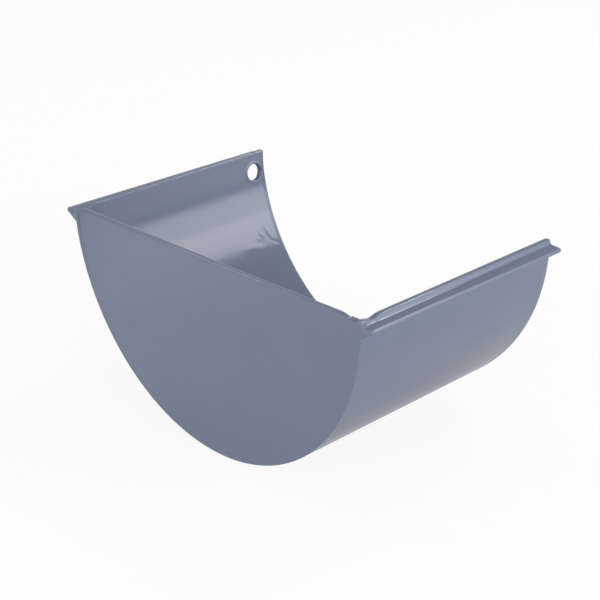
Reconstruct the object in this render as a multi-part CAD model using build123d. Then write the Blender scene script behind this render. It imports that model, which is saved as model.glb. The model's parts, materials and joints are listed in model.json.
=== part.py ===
"""Half-round gutter stop end: a short length of rimmed trough with a plate welded into one end.

The trough runs along Y, with the end plate at -Y and the open end at +Y. The wall at -X has the
fixing hole. Z is up, and the origin is the middle of the underside.
"""
import os
from math import asin, degrees, sqrt

from build123d import *

# Trough, in millimetres
trough_radius = 62.5  # inside of the half-round section, centred on the rim line
wall = 2.0
length = 80.0  # outer face of the end plate to the open end

# Rim: the wall's top edge stands as a bead above the flange that the gutter brackets grip
flange_drop = 1.5  # top of the bead down to the top of the flange
flange_reach = 4.0  # beyond the outside of the wall
flange_thickness = 1.5
flange_corner_round = 1.2  # in plan, where the flange is dressed back to the end plate
edge_round = 0.5
tip_round = 0.6  # on the flange's outer edges
root_round = 0.9  # where the flange meets the wall
round_share = 0.45  # most of a thickness that one rounded edge may take
root_share = 0.6  # most of the bead's height that a root may take

# End plate, set inside the trough and flush with its end
plate_thickness = 2.0
plate_corner_cut = 2.8

# Fixing hole through the wall at -X
hole_diameter = 6.0
hole_below_rim = 7.1
hole_from_open_end = 5.1

# Welds: a fillet under and over each flange at the plate, and a corner fill inside the plate's ends
flange_weld_leg = 3.2  # under the flange, down the outside of the wall
flange_weld_run = 2.5  # under the flange, along the rim
bead_weld_leg = 1.8  # over the flange, out from the bead
bead_weld_run = 1.4  # over the flange, along the rim
corner_fill_leg = 3.0  # across the back of the plate
corner_fill_run = 4.5  # along the inside of the wall
corner_fill_height = 3.2
corner_fill_recess = 0.5  # behind the plate's outer face, in the notch of its cut corner
front_fill_drop = 1.4  # rim line down to the fill behind the plate's front corner

# Hollow that the grinder left across the front bead, beside the plate
hollow_depth = 0.75
hollow_width = 5.0  # along the bead, at its top
hollow_from_plate = 4.8

outer_radius = trough_radius + wall
middle_radius = trough_radius + wall / 2
rim_height = outer_radius
flange_top = rim_height - flange_drop
flange_bottom = flange_top - flange_thickness
flange_middle = flange_top - flange_thickness / 2
flange_tip = outer_radius + flange_reach
plate_end = -length / 2
open_end = length / 2
plate_back = plate_end + plate_thickness
trough_axis = Axis((0, 0, rim_height), (0, 1, 0))


def half_width(radius, height):
    """Distance from the middle to a circle about the trough's axis, at a height."""
    return sqrt(radius**2 - (rim_height - height) ** 2)


def along_trough(profile, start, end):
    """Extrude a section, drawn as X across and Y up, between two places along the trough."""
    section_plane = Plane(origin=(0, end, 0), x_dir=(1, 0, 0), z_dir=(0, -1, 0))
    return extrude(section_plane * profile, amount=end - start, dir=(0, -1, 0))


def upright(plan, low, high):
    """Extrude a plan outline, drawn as X across and Y along, between two heights."""
    return extrude(Pos(0, 0, low) * plan, amount=high - low, dir=(0, 0, 1))


def both_sides(shape):
    """A shape on the +X side and its mirror image on the -X side."""
    return shape + mirror(shape, about=Plane.YZ)


def half_disc(radius):
    """The part of a disc below the rim line."""
    below = Rectangle(4 * radius, 2 * radius, align=(Align.CENTER, Align.MAX))
    return Pos(0, rim_height) * (Circle(radius) & below)


def is_flange_root(corner):
    """Whether a corner of the section is where a flange's top or underside meets the wall."""
    on_wall = trough_radius < abs(corner.X) < outer_radius
    return on_wall and abs(corner.Y - flange_middle) < flange_thickness


def gutter_profile():
    """Section of the trough with a flange on each side, its edges and roots rounded."""
    flange_start = half_width(middle_radius, flange_middle)
    flange = Rectangle(flange_tip - flange_start, flange_thickness, align=(Align.MIN, Align.CENTER))
    flange = Pos(flange_start, flange_middle) * flange
    profile = half_disc(outer_radius) - half_disc(trough_radius) + both_sides(flange)

    roots = profile.vertices().filter_by(is_flange_root)
    profile = fillet(roots, min(root_round, root_share * flange_drop))
    tip_edges = profile.vertices().filter_by(lambda corner: abs(corner.X) > flange_tip - tip_round)
    profile = fillet(tip_edges, min(tip_round, round_share * flange_thickness))
    bead_edges = profile.vertices().group_by(Axis.Y)[-1]
    return fillet(bead_edges, min(edge_round, round_share * wall, (1 - root_share) * flange_drop))


def flange_corner_waste():
    """What is dressed off a flange's tip at the plate, beyond its rounded corner."""
    radius = min(flange_corner_round, 2 * round_share * flange_reach)
    corner = Pos(flange_tip, plate_end) * Rectangle(2 * radius, 2 * radius)
    corner -= Pos(flange_tip - radius, plate_end + radius) * Circle(radius)
    keep = Pos(flange_tip - radius, plate_end + radius) * Rectangle(2 * radius, 2 * radius)
    return both_sides(upright(corner & keep, flange_bottom - flange_weld_leg, rim_height))


def end_edge_waste():
    """What is dressed off the wall's outer edge at the plate, between the two flange welds."""
    radius = min(edge_round, round_share * wall)
    centre = Pos(outer_radius - radius, plate_end + radius)
    corner = Pos(outer_radius, plate_end) * Rectangle(2 * radius, 2 * radius)
    corner = (corner & centre * Rectangle(2 * radius, 2 * radius)) - centre * Circle(radius)
    weld_toe = rim_height - flange_bottom + flange_weld_leg
    start = degrees(asin(weld_toe / outer_radius))
    corner = (Pos(0, 0, rim_height) * corner).rotate(trough_axis, start)
    return revolve(corner, axis=trough_axis, revolution_arc=180 - 2 * start)


def fixing_hole():
    """Drill standing square to the wall, through the wall alone."""
    height = rim_height - hole_below_rim
    along = open_end - hole_from_open_end
    middle = Vector(-half_width(middle_radius, height), along, height)
    drill = Plane(origin=middle, z_dir=middle - Vector(0, along, rim_height))
    return drill * Cylinder(hole_diameter / 2, 3 * wall)


def bead_hollow():
    """Shallow round hollow across the bead at +X."""
    radius = hollow_width**2 / (8 * hollow_depth) + hollow_depth / 2
    middle = (middle_radius, plate_end + hollow_from_plate, rim_height - hollow_depth + radius)
    return Pos(middle) * Rot(0, 90, 0) * Cylinder(radius, 2 * wall)


def gutter_section():
    """Trough with its rims and hole, dressed round the end that the plate closes."""
    trough = along_trough(gutter_profile(), plate_end, open_end)
    return trough - flange_corner_waste() - end_edge_waste() - fixing_hole() - bead_hollow()


def plate_corner(top):
    """The corner that is cut from the plate beside the bead, up to a height."""
    inner = trough_radius - plate_corner_cut
    low = rim_height - plate_corner_cut
    return Polygon(
        (inner, top),
        (middle_radius, top),
        (middle_radius, low),
        (half_width(trough_radius, low), low),
        align=None,
    )


def end_plate():
    """Half disc that fills the trough's section, with its top edges rounded."""
    outline = half_disc(trough_radius) - both_sides(plate_corner(rim_height))
    plate = along_trough(outline, plate_end, plate_back)
    top_edges = plate.edges().filter_by(Axis.X).group_by(Axis.Z)[-1]
    return fillet(top_edges, min(edge_round, round_share * plate_thickness))


def flange_welds(gutter):
    """Fillet under each flange, from its tip down to the wall, and over it, up to the bead."""
    toe = flange_bottom - flange_weld_leg
    under = Polygon(
        (flange_tip - tip_round, flange_middle),
        (flange_tip - tip_round, flange_bottom),
        (half_width(outer_radius, toe), toe),
        (half_width(middle_radius, flange_bottom), flange_middle),
        align=None,
    )
    over = Polygon(
        (middle_radius, flange_middle),
        (outer_radius + bead_weld_leg, flange_middle),
        (outer_radius + bead_weld_leg, flange_top),
        (outer_radius, rim_height - edge_round),
        (middle_radius, rim_height - edge_round),
        align=None,
    )
    welds = along_trough(both_sides(under), plate_end, plate_end + flange_weld_run)
    welds += along_trough(both_sides(over), plate_end, plate_end + bead_weld_run)
    return welds - flange_corner_waste() - gutter


def corner_fills(gutter, plate):
    """Weld in the notch of each cut corner and in the angle behind it, lower at the front."""
    fill_top = rim_height - edge_round
    notch = along_trough(plate_corner(fill_top), plate_end + corner_fill_recess, plate_back)
    plan = Polygon(
        (middle_radius, plate_back),
        (middle_radius, plate_back + corner_fill_run),
        (trough_radius, plate_back + corner_fill_run),
        (trough_radius - corner_fill_leg, plate_back),
        align=None,
    )
    foot = fill_top - corner_fill_height
    back_angle = mirror(upright(plan, foot, fill_top), about=Plane.YZ)
    front_angle = upright(plan, foot, rim_height - front_fill_drop)
    return both_sides(notch) + back_angle + front_angle - gutter - plate


gutter = gutter_section()
plate = end_plate()
welds = flange_welds(gutter) + corner_fills(gutter, plate)

os.makedirs("parts", exist_ok=True)
for name, solid in {"gutter_section": gutter, "end_plate": plate, "corner_welds": welds}.items():
    export_step(solid, f"parts/{name}.step")
    print(name, len(solid.solids()), "solids", round(solid.volume, 1), "mm3")
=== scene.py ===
"""Half-round gutter stop end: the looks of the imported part, laid out as an add-on.

The gutter section is a flat blank, punched for its fixing hole and rolled to the rimmed section.
The end plate is cut to fit the trough, the welds are lumps in the rim corners, and one powder coat
covers all three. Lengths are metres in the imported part's own frame: Y runs along the trough from the
end plate to the open end, Z is up, and the hole is in the wall at -X.
"""
import json
from math import asin, cos, exp, hypot, pi, radians, sin, sqrt, tan

import bmesh
import bpy
from bpy.props import FloatProperty, FloatVectorProperty, PointerProperty
from mathutils import Matrix, Vector


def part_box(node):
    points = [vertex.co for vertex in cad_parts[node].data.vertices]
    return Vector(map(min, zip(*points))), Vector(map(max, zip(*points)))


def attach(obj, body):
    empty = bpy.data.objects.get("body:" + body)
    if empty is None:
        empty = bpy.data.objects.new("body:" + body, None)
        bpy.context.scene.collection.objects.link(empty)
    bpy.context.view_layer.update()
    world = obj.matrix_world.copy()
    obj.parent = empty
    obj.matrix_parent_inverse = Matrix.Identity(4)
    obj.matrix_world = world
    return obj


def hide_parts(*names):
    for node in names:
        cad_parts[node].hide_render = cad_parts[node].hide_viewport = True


bl_info = {
    "name": "Gutter stop end",
    "version": (1, 0, 0),
    "blender": (4, 5, 0),
    "location": "3D View > Sidebar > Stop end",
    "description": "Builds a powder-coated half-round gutter stop end on its packed frame",
    "category": "Add Mesh",
}

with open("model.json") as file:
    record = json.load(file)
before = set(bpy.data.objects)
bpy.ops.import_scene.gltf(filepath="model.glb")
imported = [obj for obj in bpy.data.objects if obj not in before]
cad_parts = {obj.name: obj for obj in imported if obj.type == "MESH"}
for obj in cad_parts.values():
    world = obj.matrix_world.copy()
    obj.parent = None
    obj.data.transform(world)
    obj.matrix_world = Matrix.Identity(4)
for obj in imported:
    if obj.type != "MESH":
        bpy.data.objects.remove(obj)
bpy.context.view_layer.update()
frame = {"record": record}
BODY = "root"
MM = 0.001

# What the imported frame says
gutter_low, gutter_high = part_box("gutter_section")
PLATE_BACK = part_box("end_plate")[1].y
hole_mount = next(m for m in frame["record"]["mounts"] if m["name"] == "fixing_hole")
RIM = gutter_high.z
OUTER_RADIUS = gutter_high.z - gutter_low.z
FLANGE_TIP = gutter_high.x
PLATE_END = gutter_low.y
OPEN_END = gutter_high.y
HOLE_RADIUS = hole_mount["dims"]["r_mm"] * MM
HOLE_ALONG = hole_mount["pos_m"][1]
hole_below = RIM - hole_mount["pos_m"][2]
HOLE_ANGLE = asin(hole_below / hypot(hole_mount["pos_m"][0], hole_below))


def size(name, description, millimetres):
    """A length that a user may change, given in millimetres and kept in metres."""
    return FloatProperty(
        name=name, description=description, default=millimetres * MM, unit="LENGTH", precision=5
    )


def brightness(name, description, value):
    """How bright a light is, where 1 is white."""
    return FloatProperty(name=name, description=description, default=value, min=0)


class GutterSizes(bpy.types.PropertyGroup):
    """Sizes of the gutter section and of the coat that lies on it."""

    wall: size("Wall", "Thickness of the sheet", 2.0)
    flange_drop: size("Flange drop", "Top of the bead down to the top of the flange", 1.5)
    flange_thickness: size("Flange thickness", "Thickness of the flange that brackets grip", 1.5)
    back_reach: size("Back reach", "How much further out the back flange stands", 0.7)
    flange_droop: size("Flange droop", "How far the front flange's tip hangs at the open end", 0.25)
    edge_round: size("Edge round", "Radius on the edges of the bead", 0.5)
    tip_round: size("Tip round", "Radius on the flange's outer edges", 0.6)
    root_round: size("Root round", "Radius where the top of the flange meets the bead", 0.9)
    under_round: size("Under round", "Radius where the underside of the flange meets the wall", 0.5)
    open_edge_round: size("Open edge round", "Radius on the edges at the open end", 0.42)
    inner_edge_round: size("Inner edge round", "Radius on the wall's inner edge at the open end", 0.9)
    flange_corner: size("Flange corner", "Radius in plan where the flange ends at the plate", 1.2)
    notch_depth: size("Notch depth", "How far the grinder bit into the front bead beside the plate", 0.75)
    notch_place: size("Notch place", "From the plate's face to the middle of that notch", 4.8)
    notch_width: size("Notch width", "Half the width of that notch", 2.0)
    lip_height: size("Lip height", "How far the coat stands up round the hole", 0.25)
    lip_width: size("Lip width", "Width of the coat's lip round the hole", 1.1)
    fat_edge: size("Fat edge", "How far the coat gathers along the open end", 0.06)
    fat_place: size("Fat place", "From the open end to the middle of that gathering", 2.1)
    fat_width: size("Fat width", "Width of that gathering", 2.4)
    wave_height: size("Wave height", "Unevenness of the wall near the open end", 0.035)
    wave_length: size("Wave length", "Spacing of that unevenness", 7.0)


class PlateSizes(bpy.types.PropertyGroup):
    """Sizes of the end plate."""

    corner_cut: size("Corner cut", "How far the top corners are cut off", 2.8)
    edge_round: size("Edge round", "Radius on the top edges", 0.5)
    edge_fade: size("Edge fade", "Over which the top edge runs out into the front corner's weld", 7.0)
    seam: size("Seam", "Rounding that shows beside the back wall, where the weld wasn't filled", 0.3)
    rise: size("Rise", "How far the top edge rises towards the front corner", 0.3)
    dip: size("Dip", "Dressed hollow in the top edge beside the front corner", 0.7)
    dip_width: size("Dip width", "Half the width of that hollow", 2.0)


class WeldSizes(bpy.types.PropertyGroup):
    """Sizes of the welds in the rim corners."""

    under_leg: size("Under leg", "Under the flange, down the outside of the wall", 2.0)
    under_run: size("Under run", "Under the flange, along the rim", 2.5)
    over_leg: size("Over leg", "Over the flange, out from the bead", 1.8)
    over_run: size("Over run", "Over the flange, along the rim", 1.8)
    fill_leg: size("Fill leg", "Inside, across the back of the plate", 3.0)
    fill_run: size("Fill run", "Inside, along the wall", 4.5)
    fill_height: size("Fill height", "Inside, down from the rim", 3.2)
    front_drop: size("Front drop", "From the rim down to the fill inside the front corner", 1.4)
    lump_height: size("Lump height", "Unevenness of the weld", 0.06)
    lump_length: size("Lump length", "Spacing of that unevenness", 1.6)


class CoatLook(bpy.types.PropertyGroup):
    """Colour and finish of the powder coat."""

    colour: FloatVectorProperty(
        name="Colour",
        description="Blue-grey of the powder coat",
        subtype="COLOR",
        default=(0.155, 0.188, 0.265),
        min=0,
        max=1,
    )
    roughness: FloatProperty(
        name="Roughness", description="Semi-gloss", subtype="FACTOR", default=0.15, min=0, max=1
    )
    peel: FloatProperty(
        name="Peel", description="Strength of the orange peel", subtype="FACTOR", default=0.05, min=0, max=1
    )


class StudioLook(bpy.types.PropertyGroup):
    """Light round the part."""

    horizon: brightness("Horizon", "Light from low all round", 4.3)
    top: FloatProperty(
        name="Top", description="Height, of 1 overhead, where that light ends", default=0.6, min=0
    )
    zenith: brightness("Zenith", "Light from overhead", 0.35)
    right_panel: brightness("Right panel", "Wide panel on the right", 2.7)
    right_bar: brightness("Right bar", "Bar along the top of that panel", 2.0)
    back_strip: brightness("Back strip", "High strip on the left", 5.0)
    rim_strip: brightness(
        "Rim strip", "Small lamp high behind the open end, which draws the rim's edges", 25.0
    )
    front_panel: brightness("Front panel", "Low panel before the plate", 3.0)


# Section of the gutter

# How finely the blank is divided: down the wall, over the square patch round the hole, and at its edges
HAIR = radians(0.05)
WALL_STEP = radians(1.0)
RUNS_STEP = radians(0.4)
RUNS_END = radians(48)
PATCH_HALF = 3.55 * MM
PATCH_CELLS = 18
PATCH_RINGS = 6
HOLE_EDGE_STEPS = 4
END_STEPS = 8
# Round on the hole's edges, and the angle below the rim at which the inner edge has its full round
HOLE_EDGE_ROUND = 0.5 * MM
ROUND_BLEND = radians(6)
# Rows along the trough: how long the closer stretches at its ends are, and how far apart rows lie
PLATE_ROWS = 9 * MM
RUNS_ROWS = 20 * MM
PLATE_ROW_STEP = 0.4 * MM
ROW_STEP = 1.2 * MM
RUNS_ROW_STEP = 0.5 * MM
OPEN_ROW_STEP = 0.15 * MM


def spaced(first, last, step):
    """Even places from first up to, but without, last, no further apart than about a step."""
    count = max(1, round((last - first) / step))
    return [first + (last - first) * k / count for k in range(count)]


def rounded_corner(before, corner, after, radius, steps=6):
    """Points of the arc that rounds a corner between two straight runs."""
    corner = Vector(corner)
    back = (Vector(before) - corner).normalized()
    on = (Vector(after) - corner).normalized()
    half = back.angle(on) / 2
    middle = corner + (back + on).normalized() * radius / sin(half)
    start = corner + back * radius / tan(half) - middle
    turn = back.angle_signed(on)
    turn = -(pi - abs(turn)) if turn > 0 else pi - abs(turn)
    return [middle + Matrix.Rotation(-turn * k / steps, 2) @ start for k in range(steps + 1)]


class Section:
    """Outline of the sheet across the trough, as points (x, z) with their places along the girth.

    It runs down the inside from the back rim to the front rim, round the front rim, back along the
    outside and round the back rim. An angle on the wall is measured from the back rim.
    """

    def __init__(self, sizes):
        self.sizes = sizes
        self.inner_radius = OUTER_RADIUS - sizes.wall
        self.flange_top = RIM - sizes.flange_drop
        self.flange_bottom = self.flange_top - sizes.flange_thickness
        self.patch = PATCH_HALF / (OUTER_RADIUS - sizes.wall / 2)
        lower_root = sizes.flange_drop + sizes.flange_thickness + sizes.under_round
        top_inside = asin(sizes.edge_round / self.inner_radius)
        top_outside = asin(lower_root / OUTER_RADIUS)
        self.inner_angles = self.wall_angles(top_inside)
        shared = [a for a in self.inner_angles if top_outside + HAIR < a < pi - top_outside - HAIR]
        self.outer_angles = [pi - top_outside] + shared[::-1] + [top_outside]
        front = self.front_rim()
        back = [Vector((-p.x, p.y)) for p in reversed(front)]
        inside = [self.on_wall(self.inner_radius, a) for a in self.inner_angles]
        outside = [self.on_wall(OUTER_RADIUS, a) for a in self.outer_angles]
        self.points = inside + front + outside + back
        self.outer_start = len(inside) + len(front)
        first_shared = self.inner_angles.index(shared[0])
        self.shared_inside = [first_shared + k for k in range(len(shared))]
        self.shared_outside = [self.outer_start + len(shared) - k for k in range(len(shared))]
        self.girth = [0.0]
        for a, b in zip(self.points, self.points[1:]):
            self.girth.append(self.girth[-1] + (b - a).length)

    def wall_angles(self, start):
        """Angles down one rim, across the bottom and up to the other, closer round the hole and runs."""
        low = HOLE_ANGLE - self.patch
        high = HOLE_ANGLE + self.patch
        angles = spaced(start, low, WALL_STEP)
        angles += spaced(low, high, 2 * self.patch / PATCH_CELLS)
        angles += spaced(high, RUNS_END, RUNS_STEP)
        angles += spaced(RUNS_END, pi - start, WALL_STEP)
        return angles + [pi - start]

    def on_wall(self, radius, angle):
        return Vector((-radius * cos(angle), RIM - radius * sin(angle)))

    def front_rim(self):
        """Bead and flange of the front rim, from the inside of the wall over to its outside."""
        sizes = self.sizes
        root = sqrt(OUTER_RADIUS**2 - (RIM - self.flange_bottom) ** 2)
        below = self.flange_bottom - OUTER_RADIUS
        corners = [
            (self.inner_radius, RIM, sizes.edge_round),
            (OUTER_RADIUS, RIM, sizes.edge_round),
            (OUTER_RADIUS, self.flange_top, sizes.root_round),
            (FLANGE_TIP, self.flange_top, sizes.tip_round),
            (FLANGE_TIP, self.flange_bottom, sizes.tip_round),
            (root, self.flange_bottom, sizes.under_round),
        ]
        places = [(self.inner_radius, below)] + [c[:2] for c in corners] + [(root, below)]
        points = []
        for before, corner, after in zip(places, corners, places[2:]):
            points += rounded_corner(before, corner[:2], after, corner[2])
        return points[1:-1]

    def girth_at(self, side, angle):
        """Place along the girth of an angle on the patch that the hole is punched in."""
        angles, start = (self.inner_angles, 0) if side == "inside" else (self.outer_angles, self.outer_start)
        first = min(range(len(angles)), key=lambda k: abs(angles[k] - (HOLE_ANGLE - self.patch)))
        last = min(range(len(angles)), key=lambda k: abs(angles[k] - (HOLE_ANGLE + self.patch)))
        share = (angle - angles[first]) / (angles[last] - angles[first])
        return self.girth[start + first] + share * (self.girth[start + last] - self.girth[start + first])


def round_depths(radius):
    """Distances from an end at which its rounded edge is divided."""
    return [radius * (1 - cos(pi / 2 * k / END_STEPS)) for k in range(END_STEPS)]


def stations(sizes):
    """Places along the trough, closer at both ends and round the hole."""
    patch_start = HOLE_ALONG - PATCH_HALF
    patch_end = HOLE_ALONG + PATCH_HALF
    places = [PLATE_END + depth for depth in round_depths(sizes.edge_round)]
    places += spaced(PLATE_END + sizes.edge_round, PLATE_END + PLATE_ROWS, PLATE_ROW_STEP)
    places += spaced(PLATE_END + PLATE_ROWS, OPEN_END - RUNS_ROWS, ROW_STEP)
    places += spaced(OPEN_END - RUNS_ROWS, patch_start, RUNS_ROW_STEP)
    places += spaced(patch_start, patch_end, 2 * PATCH_HALF / PATCH_CELLS)
    places += spaced(patch_end, OPEN_END - sizes.inner_edge_round, OPEN_ROW_STEP)
    places.append(OPEN_END - sizes.inner_edge_round)
    return places + [OPEN_END - depth for depth in reversed(round_depths(sizes.inner_edge_round))]


def edge_inset(distance, radius):
    """How far a rounded edge falls back from its face, at a distance from the end."""
    short = max(radius - distance, 0)
    return radius - sqrt(max(radius**2 - short**2, 0))


def ridge(offset, width):
    """Smooth bump of height 1, which falls to nothing at half its width."""
    return cos(pi * offset / width) ** 2 if abs(offset) < width / 2 else 0.0


# Runs and dents in the coat inside the back wall: middle (from the open end, degrees below the rim),
# direction, length, width and height, all in millimetres and degrees
RUNS = [
    ((8.3, 26.6), 62, 3.0, 1.1, -0.1),
    ((5.2, 26.5), 74, 5.0, 1.3, -0.06),
    ((6.6, 27.5), 70, 6.0, 2.2, 0.05),
    ((3.4, 30.5), 38, 3.6, 0.9, 0.07),
    ((10.4, 29.0), 20, 5.0, 2.4, 0.05),
    ((14.5, 30.0), 10, 6.0, 2.6, -0.05),
]


def run_lift(angle, along):
    """How far the runs raise the coat at a place inside the back wall."""
    lift = 0.0
    for (from_end, below), direction, long, wide, height in RUNS:
        down = (angle - radians(below)) * OUTER_RADIUS / MM
        out = (along - OPEN_END) / MM + from_end
        turned = Matrix.Rotation(-radians(direction), 2) @ Vector((out, down))
        lift += height * MM * exp(-((2 * turned.x / long) ** 2) - (2 * turned.y / wide) ** 2)
    return lift


def lip_lift(sizes, angle, along):
    """How far the coat stands up round the hole."""
    across = (angle - HOLE_ANGLE) * (OUTER_RADIUS - sizes.wall / 2)
    distance = hypot(across, along - HOLE_ALONG) - HOLE_RADIUS
    return sizes.lip_height * ridge(distance - sizes.lip_width / 2, sizes.lip_width)


def open_round(sizes, side, angle):
    """Radius on an edge at the open end, which grows down the inside of the wall."""
    inside = min(1.0, angle / ROUND_BLEND, (pi - angle) / ROUND_BLEND) if side == "inside" else 0.0
    return sizes.open_edge_round + (sizes.inner_edge_round - sizes.open_edge_round) * inside


def coat_lift(sizes, side, angle, along):
    """How far the surface stands off the plain section at a place on the blank."""
    lift = -edge_inset(OPEN_END - along, open_round(sizes, side, angle))
    if side != "inside":
        lift -= edge_inset(along - PLATE_END, sizes.edge_round)
    if side == "rim":
        return lift
    lift += sizes.fat_edge * ridge(OPEN_END - along - sizes.fat_place, sizes.fat_width)
    lift += lip_lift(sizes, angle, along)
    return lift + (run_lift(angle, along) if side == "inside" else 0)


def patch_loop():
    """Cells round the edge of the patch, in order, as steps down the wall and along the trough."""
    count = PATCH_CELLS
    loop = [(k, 0) for k in range(count)] + [(count, k) for k in range(count)]
    return loop + [(count - k, count) for k in range(count)] + [(0, count - k) for k in range(count)]


def join_rings(sheet, first, second, flip):
    """Faces between two rings of as many points."""
    for k in range(len(first)):
        face = [first[k - 1], first[k], second[k], second[k - 1]]
        sheet.faces.new(face[::-1] if flip else face).smooth = True


def close_end(sheet, section, ring, flip):
    """Faces across an end of the sheet: from inside to outside down the wall, and one for each rim."""
    inside, outside = section.shared_inside, section.shared_outside
    loops = [[inside[k], inside[k + 1], outside[k + 1], outside[k]] for k in range(len(inside) - 1)]
    loops.append(list(range(inside[-1], outside[-1] + 1)))
    loops.append(list(range(outside[0], len(ring))) + list(range(inside[0] + 1)))
    for loop in loops:
        sheet.faces.new([ring[i] for i in (loop[::-1] if flip else loop)])


class Blank:
    """Flat sheet of the section's girth by the trough's length, with the hole punched through.

    X is the place along the girth, Y the place along the trough and Z the height above the sheet.
    """

    def __init__(self, section, sizes):
        self.section = section
        self.sizes = sizes
        self.sheet = bmesh.new()
        self.places = stations(sizes)
        self.middle_radius = OUTER_RADIUS - sizes.wall / 2
        self.sides = {k: ("inside", angle) for k, angle in enumerate(section.inner_angles)}
        for k, angle in enumerate(section.outer_angles):
            self.sides[section.outer_start + k] = ("outside", angle)
        self.find_patch()
        self.lay_sheet()
        self.punch()

    def find_patch(self):
        """Where the patch round the hole starts: its row, and on each side its column and the way on."""
        start = HOLE_ALONG - PATCH_HALF
        self.low = HOLE_ANGLE - self.section.patch
        self.first_row = min(range(len(self.places)), key=lambda j: abs(self.places[j] - start))
        self.patches = {}
        for side, way in (("inside", 1), ("outside", -1)):
            columns = [i for i in self.sides if self.sides[i][0] == side]
            first = min(columns, key=lambda i: abs(self.sides[i][1] - self.low))
            self.patches[side] = (first, way)

    def lay_sheet(self):
        """Points of the sheet and the faces between them, apart from the patch."""
        self.grid = []
        for i, girth in enumerate(self.section.girth):
            side, angle = self.sides.get(i, ("rim", 0))
            column = [(girth, y, coat_lift(self.sizes, side, angle, y)) for y in self.places]
            self.grid.append([self.sheet.verts.new(point) for point in column])
        patch = set()
        for first, way in self.patches.values():
            for p in range(PATCH_CELLS):
                for q in range(PATCH_CELLS):
                    patch.add((first + way * p - (way < 0), self.first_row + q))
        for i, column in enumerate(self.grid):
            after = self.grid[(i + 1) % len(self.grid)]
            for j in range(len(self.places) - 1):
                if (i, j) not in patch:
                    corners = (column[j], after[j], after[j + 1], column[j + 1])
                    self.sheet.faces.new(corners).smooth = True
        close_end(self.sheet, self.section, [column[0] for column in self.grid], flip=True)
        close_end(self.sheet, self.section, [column[-1] for column in self.grid], flip=False)

    def patch_edge(self):
        """Places round the edge of the patch, from the middle of the hole, with the way out to each."""
        edge = []
        for p, q in patch_loop():
            angle = self.low + 2 * self.section.patch * p / PATCH_CELLS
            across = (angle - HOLE_ANGLE) * self.middle_radius
            edge.append(Vector((across, self.places[self.first_row + q] - HOLE_ALONG)))
        return [(place, place.normalized()) for place in edge]

    def ring_vertex(self, side, place, lift=None):
        angle = HOLE_ANGLE + place.x / self.middle_radius
        along = HOLE_ALONG + place.y
        if lift is None:
            lift = coat_lift(self.sizes, side, angle, along)
        return self.sheet.verts.new((self.section.girth_at(side, angle), along, lift))

    def punch(self):
        """Rings on both sides from the patch's edge in to the hole, and its barrel between them."""
        bearings = self.patch_edge()
        mouth = HOLE_RADIUS + HOLE_EDGE_ROUND
        edges = {}
        for side, (first, way) in self.patches.items():
            ring = [self.grid[first + way * p][self.first_row + q] for p, q in patch_loop()]
            for step in range(1, PATCH_RINGS + 1):
                share = step / PATCH_RINGS
                inner = [self.ring_vertex(side, edge.lerp(out * mouth, share)) for edge, out in bearings]
                join_rings(self.sheet, ring, inner, flip=side == "outside")
                ring = inner
            edges[side] = ring

        ring = edges["inside"]
        raised = lip_lift(self.sizes, HOLE_ANGLE, HOLE_ALONG + mouth)
        turns = [pi / 2 * (k + 1) / HOLE_EDGE_STEPS for k in range(HOLE_EDGE_STEPS)]
        drops = [(HOLE_EDGE_ROUND * (1 - sin(t)), HOLE_EDGE_ROUND * (1 - cos(t))) for t in turns]
        barrel = drops + [(wider, self.sizes.wall - drop) for wider, drop in reversed(drops)]
        for wider, drop in barrel:
            lift = raised * max(0, 1 - drop / (self.sizes.wall / 2)) - drop
            lower = [self.ring_vertex("inside", out * (HOLE_RADIUS + wider), lift) for _, out in bearings]
            join_rings(self.sheet, ring, lower, flip=False)
            ring = lower
        join_rings(self.sheet, ring, edges["outside"], flip=False)
        loose = [v for v in self.sheet.verts if not v.link_faces]
        bmesh.ops.delete(self.sheet, geom=loose, context="VERTS")


# Node trees


class Field:
    """A value in a node tree, which takes part in sums like a number."""

    def __init__(self, tree, socket):
        self.tree = tree
        self.socket = socket

    def sum(self, operation, *others):
        node = add_node(self.tree, "ShaderNodeMath", operation=operation)
        for place, value in enumerate((self, *others)):
            feed(self.tree, node.inputs[place], value)
        return Field(self.tree, node.outputs[0])

    def __add__(self, other):
        return self.sum("ADD", other)

    def __sub__(self, other):
        return self.sum("SUBTRACT", other)

    def __mul__(self, other):
        return self.sum("MULTIPLY", other)

    def __truediv__(self, other):
        return self.sum("DIVIDE", other)

    def at_least(self, other):
        return self.sum("MAXIMUM", other)

    def root(self):
        return self.sum("SQRT")

    def size(self):
        return self.sum("ABSOLUTE")

    def sign(self):
        return self.sum("SIGN")


def feed(tree, socket, value):
    """Link a field or a socket into a socket, or set it to a plain value."""
    if isinstance(value, Field):
        value = value.socket
    if isinstance(value, bpy.types.NodeSocket):
        tree.links.new(value, socket)
    else:
        socket.default_value = value


def add_node(tree, kind, inputs=None, **settings):
    """A node with its settings made and its inputs fed."""
    node = tree.nodes.new(kind)
    for name, value in settings.items():
        setattr(node, name, value)
    for name, value in (inputs or {}).items():
        feed(tree, node.inputs[name], value)
    return node


def vector_sum(tree, operation, first, second):
    node = add_node(tree, "ShaderNodeVectorMath", {0: first, 1: second}, operation=operation)
    return node.outputs[0]


def scaled(tree, vector, factor):
    node = add_node(tree, "ShaderNodeVectorMath", {0: vector, "Scale": factor}, operation="SCALE")
    return node.outputs[0]


def between(tree, value, start, end, low, high, **settings):
    """A value that goes from low to high as another goes from start to end."""
    limits = {"Value": value, "From Min": start, "From Max": end, "To Min": low, "To Max": high}
    return Field(tree, add_node(tree, "ShaderNodeMapRange", limits, **settings).outputs[0])


def position(tree):
    """Position of the point being worked on, as fields."""
    here = add_node(tree, "GeometryNodeInputPosition").outputs[0]
    parts = add_node(tree, "ShaderNodeSeparateXYZ", {0: here})
    return [Field(tree, parts.outputs[axis]) for axis in "XYZ"]


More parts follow.
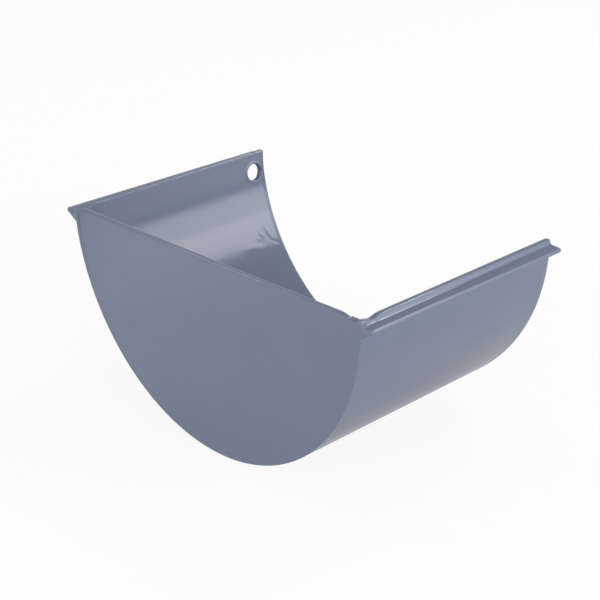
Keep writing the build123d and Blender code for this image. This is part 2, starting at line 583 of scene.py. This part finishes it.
def swollen(tree, geometry, height):
    """Geometry raised along its normals."""
    normal = add_node(tree, "GeometryNodeInputNormal").outputs[0]
    offset = scaled(tree, normal, height)
    return add_node(tree, "GeometryNodeSetPosition", {"Geometry": geometry, "Offset": offset}).outputs[0]


def geometry_tree(name, inputs):
    """A Geometry Nodes tree with named inputs, and those inputs as fields."""
    tree = bpy.data.node_groups.new(name, "GeometryNodeTree")
    tree.interface.new_socket(name="Geometry", in_out="OUTPUT", socket_type="NodeSocketGeometry")
    tree.interface.new_socket(name="Geometry", in_out="INPUT", socket_type="NodeSocketGeometry")
    for label, kind in inputs.items():
        tree.interface.new_socket(name=label, in_out="INPUT", socket_type=f"NodeSocket{kind}")
    group = add_node(tree, "NodeGroupInput")
    return tree, {label: Field(tree, group.outputs[label]) for label in ("Geometry", *inputs)}


def finish_tree(tree, geometry, material):
    """End a tree in plain geometry with its material."""
    real = add_node(tree, "GeometryNodeRealizeInstances", {"Geometry": geometry})
    coated = add_node(tree, "GeometryNodeSetMaterial", {"Geometry": real.outputs[0], "Material": material})
    output = add_node(tree, "NodeGroupOutput")
    tree.links.new(coated.outputs[0], output.inputs[0])


# How far the wall's waves reach from the open end, and the share of them that is left beyond
WAVE_REACH = 16 * MM
WAVE_LEAST = 0.08


def rolling_tree():
    """Roll a flat blank round a section, then dress the rim where it ends at the plate."""
    tree, given = geometry_tree(
        "Roll and dress",
        {
            "Section": "Object",
            "Plate End": "Float",
            "Open End": "Float",
            "Outer Radius": "Float",
            "Flange Tip": "Float",
            "Flange Top": "Float",
            "Flange Drop": "Float",
            "Flange Corner": "Float",
            "Flange Droop": "Float",
            "Back Reach": "Float",
            "Notch Depth": "Float",
            "Notch Place": "Float",
            "Notch Width": "Float",
            "Wave Height": "Float",
            "Wave Scale": "Float",
            "Material": "Material",
        },
    )
    girth, along, height = position(tree)
    section = add_node(tree, "GeometryNodeObjectInfo", {"Object": given["Section"]})
    place = add_node(
        tree,
        "GeometryNodeSampleCurve",
        {"Curves": section.outputs["Geometry"], "Length": girth},
        mode="LENGTH",
        use_all_curves=True,
    )
    outward = vector_sum(tree, "CROSS_PRODUCT", place.outputs["Tangent"], (0, 1, 0))
    outward = add_node(tree, "ShaderNodeVectorMath", {0: outward}, operation="NORMALIZE").outputs[0]
    along = add_node(tree, "ShaderNodeCombineXYZ", {"Y": along}).outputs[0]
    offset = vector_sum(tree, "ADD", along, scaled(tree, outward, height))
    rolled = vector_sum(tree, "ADD", place.outputs["Position"], offset)
    shape = add_node(tree, "GeometryNodeSetPosition", {"Geometry": given["Geometry"], "Position": rolled})

    x, y, z = position(tree)
    from_plate = y - given["Plate End"]
    corner = given["Flange Corner"]
    short = (corner - from_plate).at_least(0.0)
    pull = corner - (corner * corner - short * short).root()
    reach = (x.size() - given["Outer Radius"]).at_least(0.0)
    reach = reach / (given["Flange Tip"] - given["Outer Radius"])
    front = x.sign().at_least(0.0)
    on_bead = (z - given["Flange Top"]).at_least(0.0) / given["Flange Drop"]
    off_notch = (from_plate - given["Notch Place"]) / given["Notch Width"]
    notch = given["Notch Depth"] * on_bead / (off_notch * off_notch).sum("EXPONENT")
    run = from_plate / (given["Open End"] - given["Plate End"])
    droop = given["Flange Droop"] * reach * run * run
    further = given["Back Reach"] * (front - 1.0).size() * (run - 1.0).size()
    dressed = add_node(
        tree,
        "ShaderNodeCombineXYZ",
        {"X": x.sign() * (x.size() + (further - pull) * reach), "Y": y, "Z": z - (notch + droop) * front},
    )
    shape = add_node(
        tree, "GeometryNodeSetPosition", {"Geometry": shape.outputs[0], "Position": dressed.outputs[0]}
    )

    wave = add_node(tree, "ShaderNodeTexNoise", {"Scale": given["Wave Scale"], "Detail": 2.0})
    near_end = ((y - given["Open End"]) / WAVE_REACH + 1.0).at_least(WAVE_LEAST)
    swell = (Field(tree, wave.outputs[0]) - 0.5) * given["Wave Height"] * 2.0 * near_end
    finish_tree(tree, swollen(tree, shape.outputs[0], swell), given["Material"])
    return tree


def lump_tree():
    """Raise uneven lumps on a weld."""
    tree, given = geometry_tree(
        "Weld lumps", {"Lump Height": "Float", "Lump Scale": "Float", "Material": "Material"}
    )
    lumps = add_node(tree, "ShaderNodeTexNoise", {"Detail": 1.0, "Scale": given["Lump Scale"]})
    height = (Field(tree, lumps.outputs[0]) - 0.5) * given["Lump Height"] * 2.0
    finish_tree(tree, swollen(tree, given["Geometry"], height), given["Material"])
    return tree


def add_tree(piece, tree, values):
    """Put a node tree on a piece, with its inputs set by their identifiers."""
    modifier = piece.modifiers.new(tree.name, "NODES")
    modifier.node_group = tree
    for item in tree.interface.items_tree:
        if item.in_out == "INPUT" and item.name in values:
            modifier[item.identifier] = values[item.name]


# Pieces


def new_piece(name, mesh):
    piece = bpy.data.objects.new(name, mesh)
    bpy.context.scene.collection.objects.link(piece)
    return piece


def mesh_of(name, shape):
    """A mesh from a bmesh, which is then freed."""
    mesh = bpy.data.meshes.new(name)
    shape.to_mesh(mesh)
    shape.free()
    return mesh


def settle(piece):
    """Turn a piece's modifiers into its plain mesh."""
    evaluated = piece.evaluated_get(bpy.context.evaluated_depsgraph_get())
    made = bpy.data.meshes.new_from_object(evaluated)
    made.name = piece.name
    piece.modifiers.clear()
    piece.data = made
    return piece


def hand_over(piece, node):
    """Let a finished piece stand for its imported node."""
    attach(piece, BODY)
    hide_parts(node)


def noise(tree, where, scale, detail):
    node = add_node(tree, "ShaderNodeTexNoise", {"Vector": where, "Scale": scale, "Detail": detail})
    return node.outputs[0]


# Noises of the coat, as scale and detail: in its shade, in its gloss and as orange peel
MOTTLING = (90.0, 3.0)
HAZE = (260.0, 2.0)
PEEL = (900.0, 1.0)
# Spread of the noise, how far it changes the coat's shade and roughness, and the depth of the peel
NOISE_RANGE = (0.3, 0.7)
SHADE_CHANGE = 0.015
ROUGHNESS_CHANGE = 0.03
PEEL_DEPTH = 0.1 * MM


def powder_coat():
    """Semi-gloss powder coat: faint mottling, slightly uneven gloss and orange peel."""
    material = bpy.data.materials.get("powder_coat")
    if material:
        return material
    look = bpy.context.scene.stop_end_coat
    material = bpy.data.materials.new("powder_coat")
    material.use_nodes = True
    tree = material.node_tree
    shader = tree.nodes["Principled BSDF"]
    shader.inputs["IOR"].default_value = 1.5
    where = add_node(tree, "ShaderNodeTexCoord").outputs["Object"]

    mottling = noise(tree, where, *MOTTLING)
    shade = between(tree, mottling, *NOISE_RANGE, 1 - SHADE_CHANGE, 1 + SHADE_CHANGE)
    feed(tree, shader.inputs["Base Color"], scaled(tree, tuple(look.colour), shade))

    haze = noise(tree, where, *HAZE)
    dullest = look.roughness + ROUGHNESS_CHANGE
    roughness = between(tree, haze, *NOISE_RANGE, look.roughness - ROUGHNESS_CHANGE, dullest)
    feed(tree, shader.inputs["Roughness"], roughness)

    peel = noise(tree, where, *PEEL)
    bump = add_node(
        tree, "ShaderNodeBump", {"Height": peel, "Strength": look.peel, "Distance": PEEL_DEPTH}
    )
    feed(tree, shader.inputs["Normal"], bump.outputs[0])
    return material


class STOPEND_OT_gutter_section(bpy.types.Operator):
    """Punch the flat blank, roll it to the rimmed section and dress its rim at the plate"""

    bl_idname = "stop_end.gutter_section"
    bl_label = "Gutter section"

    def execute(self, context):
        sizes = context.scene.stop_end_gutter
        section = Section(sizes)
        curve = bpy.data.curves.new("section", "CURVE")
        curve.dimensions = "3D"
        spline = curve.splines.new("POLY")
        spline.points.add(len(section.points) - 1)
        for point, place in zip(spline.points, section.points):
            point.co = (place.x, 0, place.y, 1)
        spline.use_cyclic_u = True
        outline = new_piece("section", curve)
        piece = new_piece("coated_gutter", mesh_of("coated_gutter", Blank(section, sizes).sheet))
        add_tree(
            piece,
            rolling_tree(),
            {
                "Section": outline,
                "Plate End": PLATE_END,
                "Open End": OPEN_END,
                "Outer Radius": OUTER_RADIUS,
                "Flange Tip": FLANGE_TIP,
                "Flange Top": section.flange_top,
                "Flange Drop": sizes.flange_drop,
                "Flange Corner": sizes.flange_corner,
                "Flange Droop": sizes.flange_droop,
                "Back Reach": sizes.back_reach,
                "Notch Depth": sizes.notch_depth,
                "Notch Place": sizes.notch_place,
                "Notch Width": sizes.notch_width,
                "Wave Height": sizes.wave_height,
                "Wave Scale": 1 / sizes.wave_length,
                "Material": powder_coat(),
            },
        )
        settle(piece)
        bpy.data.objects.remove(outline)
        hand_over(piece, "gutter_section")
        return {"FINISHED"}


# How finely the plate is divided
PLATE_STEPS = 160
TOP_STEPS = 120
ROUND_STEPS = 5
# Round on an edge that is welded flush, the flat ring inside each edge, and how far down the seam shows
FLUSH = 0.03 * MM
LEDGE = 0.4 * MM
SEAM_ANGLE = radians(22)


def plate_edge(radius, sizes):
    """Edge of the plate, as points (x, z) with the radius of the front and of the back edge at each.

    It runs from the back corner down round the bottom to the front corner, then back along the top.
    """
    edge = []
    start = asin(sizes.corner_cut / radius)
    for k in range(PLATE_STEPS + 1):
        angle = start + (pi - 2 * start) * k / PLATE_STEPS
        seam = max(FLUSH, sizes.seam * (1 - (angle - start) / SEAM_ANGLE))
        edge.append((Vector((-radius * cos(angle), RIM - radius * sin(angle))), seam, FLUSH))
    side = radius - sizes.corner_cut
    for k in range(TOP_STEPS + 1):
        x = side - 2 * side * k / TOP_STEPS
        rise = sizes.rise * max(0.0, x / side) ** 2
        dip = sizes.dip * exp(-(((x - side) / sizes.dip_width) ** 2))
        front = FLUSH + (sizes.edge_round - FLUSH) * min(1.0, (side - x) / sizes.edge_fade)
        edge.append((Vector((x, RIM + rise - dip)), front, sizes.edge_round))
    return edge


def inward(points):
    """Way into a shape at each point of its edge, longer at a corner so that an inset stays even."""
    ways = []
    for k, point in enumerate(points):
        before = (point - points[k - 1]).normalized()
        after = (points[(k + 1) % len(points)] - point).normalized()
        way = Vector((-before.y - after.y, before.x + after.x)).normalized()
        ways.append(way / way.dot(Vector((-before.y, before.x))))
    return ways


class STOPEND_OT_end_plate(bpy.types.Operator):
    """Cut the half disc that closes the trough and round its edges"""

    bl_idname = "stop_end.end_plate"
    bl_label = "End plate"

    def execute(self, context):
        sizes = context.scene.stop_end_plate
        edge = plate_edge(OUTER_RADIUS - context.scene.stop_end_gutter.wall, sizes)
        ways = inward([point for point, _, _ in edge])
        steps = [pi / 2 * k / ROUND_STEPS for k in range(ROUND_STEPS + 1)]
        shape = bmesh.new()
        rings = []

        def add_ring(y, inset):
            ring = []
            for (point, front, back), way in zip(edge, ways):
                at = point + way * inset(front, back)
                ring.append(shape.verts.new((at.x, y(front, back), at.y)))
            rings.append(ring)

        add_ring(lambda front, back: PLATE_END, lambda front, back: front + LEDGE)
        for t in steps:
            add_ring(
                lambda front, back: PLATE_END + front * (1 - cos(t)), lambda front, back: front * (1 - sin(t))
            )
        for t in reversed(steps):
            add_ring(
                lambda front, back: PLATE_BACK - back * (1 - cos(t)), lambda front, back: back * (1 - sin(t))
            )
        add_ring(lambda front, back: PLATE_BACK, lambda front, back: back + LEDGE)
        for first, second in zip(rings, rings[1:]):
            join_rings(shape, first, second, flip=True)
        shape.faces.new(rings[0])
        shape.faces.new(rings[-1][::-1])
        piece = new_piece("coated_plate", mesh_of("coated_plate", shape))
        piece.data.materials.append(powder_coat())
        hand_over(piece, "end_plate")
        return {"FINISHED"}


def prism(shape, outline, first, last, place):
    """Closed prism between two copies of an outline, where place turns (a, b, level) into a point."""
    ends = [[shape.verts.new(place(a, b, level)) for a, b in outline] for level in (first, last)]
    for end in ends:
        shape.faces.new(end)
    for k in range(len(outline)):
        shape.faces.new((ends[0][k - 1], ends[0][k], ends[1][k], ends[1][k - 1]))


# How far the welds run into what they join, the top of the bead's weld below the rim, and the narrow end
# of the fill
SUNK = 0.45 * MM
BEAD_WELD_BELOW = 0.3 * MM
FILL_TOE = 0.2 * MM
# At the front (1) and the back (-1): the fill's top below the rim, and its start behind the plate's face
FILL_BELOW = {1: 0.45 * MM, -1: 0.25 * MM}
FILL_RECESS = {1: -0.03 * MM, -1: 0.15 * MM}
# How the prisms run together into one skin
WELD_VOXEL = 0.16 * MM
WELD_SMOOTHING = 12


def in_section(side, gutter):
    """How to place a point (x, z) of the rim's section, at y along the trough, on one side."""

    def place(x, z, y):
        pull = edge_inset(y - PLATE_END, gutter.flange_corner)
        reach = max(x - OUTER_RADIUS, 0) / (FLANGE_TIP - OUTER_RADIUS)
        further = gutter.back_reach if side < 0 else 0
        return (side * (x + (further - pull) * reach), y, z)

    return place


def add_fillets(shape, side, gutter, sizes):
    """Fillets under and over the flange, against the plate."""
    inner = OUTER_RADIUS - gutter.wall
    flange_top = RIM - gutter.flange_drop
    flange_bottom = flange_top - gutter.flange_thickness
    tip = FLANGE_TIP - gutter.tip_round
    toe = flange_bottom - sizes.under_leg
    wall_at_toe = sqrt(OUTER_RADIUS**2 - (RIM - toe) ** 2)
    bead_top = RIM - BEAD_WELD_BELOW
    under = [
        (tip, flange_bottom + SUNK),
        (tip, flange_bottom),
        (wall_at_toe, toe),
        (wall_at_toe - SUNK, toe),
        (inner + SUNK, flange_bottom + SUNK),
    ]
    over = [
        (OUTER_RADIUS - SUNK, flange_top - SUNK),
        (OUTER_RADIUS + sizes.over_leg, flange_top - SUNK),
        (OUTER_RADIUS + sizes.over_leg, flange_top),
        (OUTER_RADIUS, bead_top),
        (OUTER_RADIUS - SUNK, bead_top),
    ]
    prism(shape, under, PLATE_END, PLATE_END + sizes.under_run, in_section(side, gutter))
    prism(shape, over, PLATE_END, PLATE_END + sizes.over_run, in_section(side, gutter))


def add_fills(shape, side, gutter, plate, sizes):
    """Fills in the notch of the plate's cut corner and in the angle behind it."""
    inner = OUTER_RADIUS - gutter.wall
    cut_low = RIM - plate.corner_cut
    fill_top = RIM - FILL_BELOW[side]
    angle_top = RIM - sizes.front_drop if side > 0 else fill_top
    notch = [
        (inner - plate.corner_cut - SUNK, fill_top),
        (inner + 2 * SUNK, fill_top),
        (inner + 2 * SUNK, cut_low - SUNK),
        (inner - SUNK, cut_low - SUNK),
    ]
    angle = [
        (inner + SUNK, PLATE_BACK - SUNK),
        (inner + SUNK, PLATE_BACK + sizes.fill_run),
        (inner - FILL_TOE, PLATE_BACK + sizes.fill_run),
        (inner - sizes.fill_leg, PLATE_BACK),
        (inner - sizes.fill_leg, PLATE_BACK - SUNK),
    ]
    prism(shape, notch, PLATE_END + FILL_RECESS[side], PLATE_BACK + SUNK, in_section(side, gutter))
    prism(shape, angle, fill_top - sizes.fill_height, angle_top, lambda x, y, z: (side * x, y, z))


class STOPEND_OT_corner_welds(bpy.types.Operator):
    """Fill the rim corners at the plate with uneven weld"""

    bl_idname = "stop_end.corner_welds"
    bl_label = "Corner welds"

    def execute(self, context):
        sizes = context.scene.stop_end_welds
        gutter = context.scene.stop_end_gutter
        plate = context.scene.stop_end_plate
        shape = bmesh.new()
        for side in (1, -1):
            add_fillets(shape, side, gutter, sizes)
            add_fills(shape, side, gutter, plate, sizes)
        bmesh.ops.recalc_face_normals(shape, faces=shape.faces)
        piece = new_piece("coated_welds", mesh_of("coated_welds", shape))
        skin = piece.modifiers.new("One skin", "REMESH")
        skin.mode = "VOXEL"
        skin.voxel_size = WELD_VOXEL
        skin.use_smooth_shade = True
        smooth = piece.modifiers.new("Run together", "SMOOTH")
        smooth.factor = 0.5
        smooth.iterations = WELD_SMOOTHING
        add_tree(
            piece,
            lump_tree(),
            {
                "Lump Height": sizes.lump_height,
                "Lump Scale": 1 / sizes.lump_length,
                "Material": powder_coat(),
            },
        )
        settle(piece)
        hand_over(piece, "corner_welds")
        return {"FINISHED"}


# Stage

CAMERA_PLACE = Vector((0.29776, -0.27451, 0.21869))
CAMERA_AZIMUTH = 132.48
CAMERA_ELEVATION = 24.016
CAMERA_ROLL = radians(-1.79)
CAMERA_LENS = 84.33
FLOOR_RADIUS = 6.0
FLOOR_BELOW = 0.02 * MM
# How pale the floor's paint is before the camera and as it lights the part, and how white the floor is
# before the camera, where the rest shows the shadow
FLOOR_PAINT = 0.95
FLOOR_BOUNCE = 0.5
FLOOR_SEEN = 0.9
# In the coat the floor shows as a sheet with painted shade: a painted shadow under the part, and painted
# shade beyond its edge for a dim room. For each change of tone, where it starts and ends, from the middle,
# and the shares of white there
PAINTED_SHADE_TONES = ((0.05, 0.08, 0.8, 1.0), (0.12, 0.22, 0.69, 1.0), (0.45, 0.50, 1.0, 0.12))
# A painted dark patch lies on that sheet behind the part, painted shade that shows only in the coat, so that
# its outline
# shows dark: its azimuth, where it starts and is full, and the shares of white there
PAINTED_DARK_AZIMUTH = -47
PAINTED_DARK_TONE = (0.03, 0.08, 1.0, 0.2)
# Where the ring of light is dark: azimuth, share left there, and the cosine at which the dark starts.
# It is full at the second value.
DARK_SIDES = ((100, 0.1, 0.1), (-95, 0.0, 0.1), (-10, 0.2, 0.75))
DARK_FULL = 0.95
# Lamps: azimuth and elevation in degrees, then distance, width and height
LAMPS = {
    "right_panel": (80, 14, 1.2, 1.62, 0.64),
    "right_bar": (75, 21, 1.19, 1.50, 0.36),
    "back_strip": (-95, 45, 1.2, 0.5, 0.15),
    "rim_strip": (3, 51, 1.2, 0.25, 0.12),
    "front_panel": (-165, 13, 1.2, 0.92, 0.50),
}


def toward(azimuth, elevation):
    """Direction at an azimuth, in degrees from +Y towards +X, and an elevation."""
    a, e = radians(azimuth), radians(elevation)
    return Vector((sin(a) * cos(e), cos(a) * cos(e), sin(e)))


def soft_panel(name, direction, distance, width, height, radiance):
    """Area lamp that faces the part and shows it an even brightness."""
    lamp = bpy.data.lights.new(name, "AREA")
    lamp.shape = "RECTANGLE"
    lamp.size = width
    lamp.size_y = height
    lamp.energy = radiance * width * height * pi
    holder = bpy.data.objects.new(name, lamp)
    bpy.context.scene.collection.objects.link(holder)
    holder.location = Vector((0, 0, RIM / 2)) + direction * distance
    holder.rotation_euler = direction.to_track_quat("Z", "Y").to_euler()


def along_bearing(tree, where, azimuth):
    """How far a place or a direction lies towards an azimuth."""
    bearing = {0: where, 1: toward(azimuth, 0)}
    return add_node(tree, "ShaderNodeVectorMath", bearing, operation="DOT_PRODUCT").outputs["Value"]


class STOPEND_OT_stage(bpy.types.Operator):
    """Pale floor, soft light and the camera"""

    bl_idname = "stop_end.stage"
    bl_label = "Stage"

    def execute(self, context):
        scene = context.scene
        look = scene.stop_end_studio
        scene.view_settings.view_transform = "Standard"
        self.make_floor()
        self.make_world(scene, look)
        for name, (azimuth, elevation, distance, width, height) in LAMPS.items():
            soft_panel(name, toward(azimuth, elevation), distance, width, height, getattr(look, name))
        self.make_camera(scene)
        return {"FINISHED"}

    def make_camera(self, scene):
        camera = bpy.data.cameras.new("camera")
        camera.lens = CAMERA_LENS
        camera.sensor_width = 36
        camera.clip_start = 0.01
        holder = bpy.data.objects.new("camera", camera)
        scene.collection.objects.link(holder)
        back = toward(CAMERA_AZIMUTH, CAMERA_ELEVATION)
        turn = back.to_track_quat("Z", "Y").to_matrix() @ Matrix.Rotation(CAMERA_ROLL, 3, "Z")
        holder.matrix_world = Matrix.Translation(CAMERA_PLACE) @ turn.to_4x4()
        scene.camera = holder

    def make_floor(self):
        shape = bmesh.new()
        bmesh.ops.create_circle(shape, cap_ends=True, segments=96, radius=FLOOR_RADIUS)
        bmesh.ops.translate(shape, verts=shape.verts, vec=(0, 0, gutter_low.z - FLOOR_BELOW))
        floor = new_piece("floor", mesh_of("floor", shape))
        material = bpy.data.materials.new("pale_floor")
        material.use_nodes = True
        tree = material.node_tree
        tree.nodes.clear()
        path = add_node(tree, "ShaderNodeLightPath")
        seen = Field(tree, path.outputs["Is Camera Ray"])
        mirrored = Field(tree, path.outputs["Is Glossy Ray"]).at_least(path.outputs["Is Transmission Ray"])
        pale = seen * (FLOOR_PAINT - FLOOR_BOUNCE) + FLOOR_BOUNCE
        paint = add_node(tree, "ShaderNodeBsdfDiffuse", {"Color": pale})
        spot = add_node(tree, "ShaderNodeTexCoord").outputs["Object"]
        away = add_node(tree, "ShaderNodeVectorMath", {0: spot}, operation="LENGTH").outputs["Value"]
        # Painted dark patch in the floor's glow behind the part, seen only in reflections
        sheet = between(tree, along_bearing(tree, spot, PAINTED_DARK_AZIMUTH), *PAINTED_DARK_TONE)
        # Painted shadow under the part and painted shade of a dim room beyond, in the floor's glow as
        # reflections see it
        for tone in PAINTED_SHADE_TONES:
            sheet = sheet * between(tree, away, *tone)
        strength = mirrored * (sheet - 1.0) + 1.0
        white = add_node(tree, "ShaderNodeEmission", {"Color": (1, 1, 1, 1), "Strength": strength})
        share = mirrored.at_least(seen * FLOOR_SEEN)
        mix = add_node(tree, "ShaderNodeMixShader", {0: share, 1: paint.outputs[0], 2: white.outputs[0]})
        output = add_node(tree, "ShaderNodeOutputMaterial")
        tree.links.new(mix.outputs[0], output.inputs[0])
        floor.data.materials.append(material)

    def make_world(self, scene, look):
        world = bpy.data.worlds.new("studio")
        world.use_nodes = True
        tree = world.node_tree
        background = tree.nodes["Background"]
        where = add_node(tree, "ShaderNodeTexCoord").outputs["Generated"]
        up = add_node(tree, "ShaderNodeSeparateXYZ", {0: where}).outputs["Z"]
        light = between(tree, up, 0.0, look.top, look.horizon, 0.0, interpolation_type="SMOOTHSTEP")
        for azimuth, lit, start in DARK_SIDES:
            across = along_bearing(tree, where, azimuth)
            light = light * between(tree, across, start, DARK_FULL, 1.0, lit)
        light = light.at_least(look.zenith)
        feed(tree, background.inputs["Strength"], light)
        background.inputs["Color"].default_value = (1, 1, 1, 1)
        scene.world = world


class STOPEND_PT_panel(bpy.types.Panel):
    """Sidebar panel that lists the pieces and the stage"""

    bl_idname = "STOPEND_PT_panel"
    bl_label = "Gutter stop end"
    bl_space_type = "VIEW_3D"
    bl_region_type = "UI"
    bl_category = "Stop end"

    def draw(self, context):
        for operator in OPERATORS:
            self.layout.operator(operator.bl_idname)
        for name in GROUPS:
            box = self.layout.box()
            group = getattr(context.scene, name)
            for prop in group.__annotations__:
                box.prop(group, prop)


OPERATORS = (
    STOPEND_OT_gutter_section,
    STOPEND_OT_end_plate,
    STOPEND_OT_corner_welds,
    STOPEND_OT_stage,
)
GROUPS = {
    "stop_end_gutter": GutterSizes,
    "stop_end_plate": PlateSizes,
    "stop_end_welds": WeldSizes,
    "stop_end_coat": CoatLook,
    "stop_end_studio": StudioLook,
}


def register():
    for name, group in GROUPS.items():
        bpy.utils.register_class(group)
        setattr(bpy.types.Scene, name, PointerProperty(type=group))
    for operator in OPERATORS:
        bpy.utils.register_class(operator)
    bpy.utils.register_class(STOPEND_PT_panel)


def unregister():
    bpy.utils.unregister_class(STOPEND_PT_panel)
    for operator in reversed(OPERATORS):
        bpy.utils.unregister_class(operator)
    for name, group in reversed(GROUPS.items()):
        delattr(bpy.types.Scene, name)
        bpy.utils.unregister_class(group)


def main():
    register()
    bpy.ops.stop_end.gutter_section()
    bpy.ops.stop_end.end_plate()
    bpy.ops.stop_end.corner_welds()
    bpy.ops.stop_end.stage()


if __name__ == "__main__":
    main()
